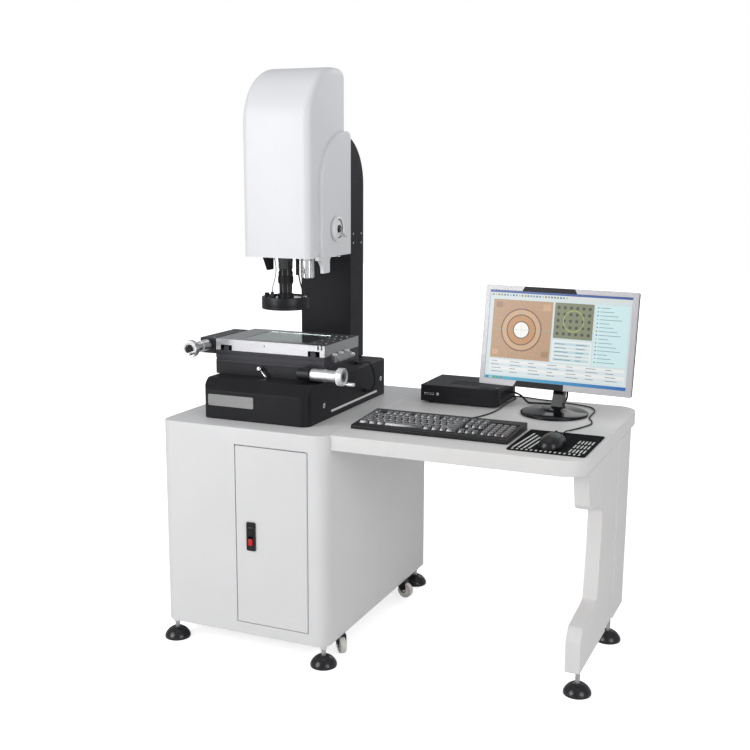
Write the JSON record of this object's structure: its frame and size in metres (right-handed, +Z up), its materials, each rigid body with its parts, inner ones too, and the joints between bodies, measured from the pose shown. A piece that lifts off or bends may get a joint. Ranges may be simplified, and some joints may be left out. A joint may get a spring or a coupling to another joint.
{
  "type": "coordinate measuring machine",
  "caption": "Vision measuring machine: camera head on a Z slide over a hand-driven XY stage, on a cabinet with desk wing, monitor and PC.",
  "frame": {"origin": "on the floor, under the middle of the footprint of the feet", "axes": "+Z up, +X to the operator's right along the front, +Y from the operator to the rear"},
  "size_m": [1.2472, 0.765, 1.655],
  "materials": {
    "white_paint": "satin white powder coat",
    "board_white": "satin white laminate and paint",
    "cover_white": "gloss white moulded cover",
    "black_granite": "satin black, granite body",
    "black_paint": "satin black coat on aluminium",
    "black_steel": "black coat on steel",
    "rail_steel": "ground steel",
    "silver": "anodised aluminium",
    "chrome": "chromed steel",
    "black_plastic": "black plastic",
    "grey_plastic": "grey plastic",
    "red_plastic": "red plastic",
    "nylon": "milky nylon wheel",
    "rubber": "black rubber",
    "cloth": "black cloth on rubber",
    "glass": "clear plate glass"
  },
  "bodies": {
    "workstation": {"cabinet_shell": "white_paint", "foot_cabinet_front_left": "rubber", "foot_cabinet_front_right": "rubber", "foot_cabinet_rear_left": "rubber", "foot_cabinet_rear_right": "rubber", "foot_desk_front": "rubber", "foot_desk_rear": "rubber", "desk_top": "board_white", "desk_leg": "board_white", "machine_base": "black_granite", "column": "black_granite", "z_guide": "rail_steel", "stage_base": "black_paint", "x_barrel": "silver", "pc_box": "black_paint", "monitor_stand": "black_plastic", "keyboard_case": "black_plastic", "keyboard_keys": "black_plastic", "mouse": "black_plastic", "mouse_pad": "cloth", "keyboard_cord": "rubber", "keyboard_coil": "rubber", "mouse_cord": "rubber", "mouse_coil": "rubber", "stage_cable": "rubber", "monitor_lead": "rubber"},
    "door": {"cabinet_door": "white_paint", "latch_housing": "black_plastic"},
    "latch_lever": {"latch_lever": "grey_plastic"},
    "latch_button": {"latch_button": "red_plastic"},
    "x_slide_body": {"x_carriage": "black_paint", "y_drive_housing": "black_paint", "y_barrel": "silver", "scale_reader": "silver"},
    "table": {"stage_table": "silver", "stage_glass": "glass"},
    "head": {"z_carriage": "black_paint", "front_cover": "cover_white", "side_cover_left": "cover_white", "side_cover_right": "cover_white", "camera": "silver", "lens_tube": "black_paint", "ring_light": "black_plastic", "illuminator": "silver", "light_wire_left": "grey_plastic", "light_wire_right": "rubber"},
    "zoom_ring": {"zoom_ring": "black_plastic"},
    "z_handwheel": {"z_handwheel": "silver"},
    "x_handwheel": {"x_handwheel": "silver"},
    "y_handwheel": {"y_handwheel": "silver"},
    "lock_lever": {"lock_lever": "chrome"},
    "monitor_panel": {"monitor_panel": "black_plastic"},
    "caster_fork_front_left": {"caster_fork_front_left": "black_steel"},
    "caster_wheel_front_left": {"caster_wheel_front_left": "nylon"},
    "caster_fork_front_right": {"caster_fork_front_right": "black_steel"},
    "caster_wheel_front_right": {"caster_wheel_front_right": "nylon"},
    "caster_fork_rear_left": {"caster_fork_rear_left": "black_steel"},
    "caster_wheel_rear_left": {"caster_wheel_rear_left": "nylon"},
    "caster_fork_rear_right": {"caster_fork_rear_right": "black_steel"},
    "caster_wheel_rear_right": {"caster_wheel_rear_right": "nylon"}
  },
  "joints": [
    {"name": "door_hinge", "type": "hinge", "parent": "workstation", "child": "door", "pos_m": [-0.1465, -0.358, 0.0935], "axis": [0, 0, 1], "range_deg": [0, 100]},
    {"name": "latch_lever_hinge", "type": "hinge", "parent": "door", "child": "latch_lever", "pos_m": [-0.318, -0.365, 0.377], "axis": [-1, 0, 0], "range_deg": [0, 40]},
    {"name": "latch_button_push", "type": "slide", "parent": "door", "child": "latch_button", "axis": [0, 1, 0], "range_m": [0, 0.003], "stiffness_N_per_m": 300},
    {"name": "x_slide", "type": "slide", "parent": "workstation", "child": "x_slide_body", "axis": [1, 0, 0], "range_m": [-0.1, 0.1]},
    {"name": "y_slide", "type": "slide", "parent": "x_slide_body", "child": "table", "axis": [0, 1, 0], "range_m": [-0.05, 0.05]},
    {"name": "z_slide", "type": "slide", "parent": "workstation", "child": "head", "axis": [0, 0, 1], "range_m": [-0.06, 0.09]},
    {"name": "x_handwheel_turn", "type": "hinge", "parent": "workstation", "child": "x_handwheel", "pos_m": [-0.124, -0.2185, 0.799], "axis": [1, 0, 0], "range_deg": [-905, 905]},
    {"name": "y_handwheel_turn", "type": "hinge", "parent": "x_slide_body", "child": "y_handwheel", "pos_m": [-0.551, -0.271, 0.858], "axis": [0, -1, 0], "range_deg": [-455, 455]},
    {"name": "z_handwheel_turn", "type": "hinge", "parent": "head", "child": "z_handwheel", "pos_m": [-0.2377, -0.006, 1.195], "axis": [1, 0, 0], "range_deg": [-545, 815]},
    {"name": "zoom_ring_turn", "type": "hinge", "parent": "head", "child": "zoom_ring", "pos_m": [-0.348, -0.089, 1.0375], "axis": [0, 0, 1], "range_deg": [-60, 60]},
    {"name": "lock_lever_turn", "type": "hinge", "parent": "workstation", "child": "lock_lever", "pos_m": [-0.372, -0.1953, 0.8], "axis": [0, -1, 0], "range_deg": [0, 60]},
    {"name": "monitor_tilt", "type": "hinge", "parent": "workstation", "child": "monitor_panel", "pos_m": [0.40014, 0.22843, 0.7659], "axis": [0.9966, -0.0829, 0], "range_deg": [-12, 13]},
    {"name": "caster_swivel_front_left", "type": "hinge", "parent": "workstation", "child": "caster_fork_front_left", "pos_m": [-0.594, -0.24, 0.0585], "axis": [0, 0, 1], "continuous": true},
    {"name": "caster_roll_front_left", "type": "hinge", "parent": "caster_fork_front_left", "child": "caster_wheel_front_left", "pos_m": [-0.58648, -0.21933, 0.028], "axis": [-0.9397, 0.342, 0], "continuous": true},
    {"name": "caster_swivel_front_right", "type": "hinge", "parent": "workstation", "child": "caster_fork_front_right", "pos_m": [-0.104, -0.24, 0.0585], "axis": [0, 0, 1], "continuous": true},
    {"name": "caster_roll_front_right", "type": "hinge", "parent": "caster_fork_front_right", "child": "caster_wheel_front_right", "pos_m": [-0.08928, -0.25635, 0.028], "axis": [0.7431, 0.6691, 0], "continuous": true},
    {"name": "caster_swivel_rear_left", "type": "hinge", "parent": "workstation", "child": "caster_fork_rear_left", "pos_m": [-0.594, 0.212, 0.0585], "axis": [0, 0, 1], "continuous": true},
    {"name": "caster_roll_rear_left", "type": "hinge", "parent": "caster_fork_rear_left", "child": "caster_wheel_rear_left", "pos_m": [-0.58648, 0.19133, 0.028], "axis": [0.9397, 0.342, 0], "continuous": true},
    {"name": "caster_swivel_rear_right", "type": "hinge", "parent": "workstation", "child": "caster_fork_rear_right", "pos_m": [-0.104, 0.212, 0.0585], "axis": [0, 0, 1], "continuous": true},
    {"name": "caster_roll_rear_right", "type": "hinge", "parent": "caster_fork_rear_right", "child": "caster_wheel_rear_right", "pos_m": [-0.08212, 0.2097, 0.028], "axis": [0.1045, 0.9945, 0], "continuous": true}
  ],
  "couplings": [
    {"joint": "x_handwheel_turn", "follows": "x_slide", "rad_per_m": 157.08},
    {"joint": "y_handwheel_turn", "follows": "y_slide", "rad_per_m": 157.08},
    {"joint": "z_handwheel_turn", "follows": "z_slide", "rad_per_m": 157.08}
  ]
}
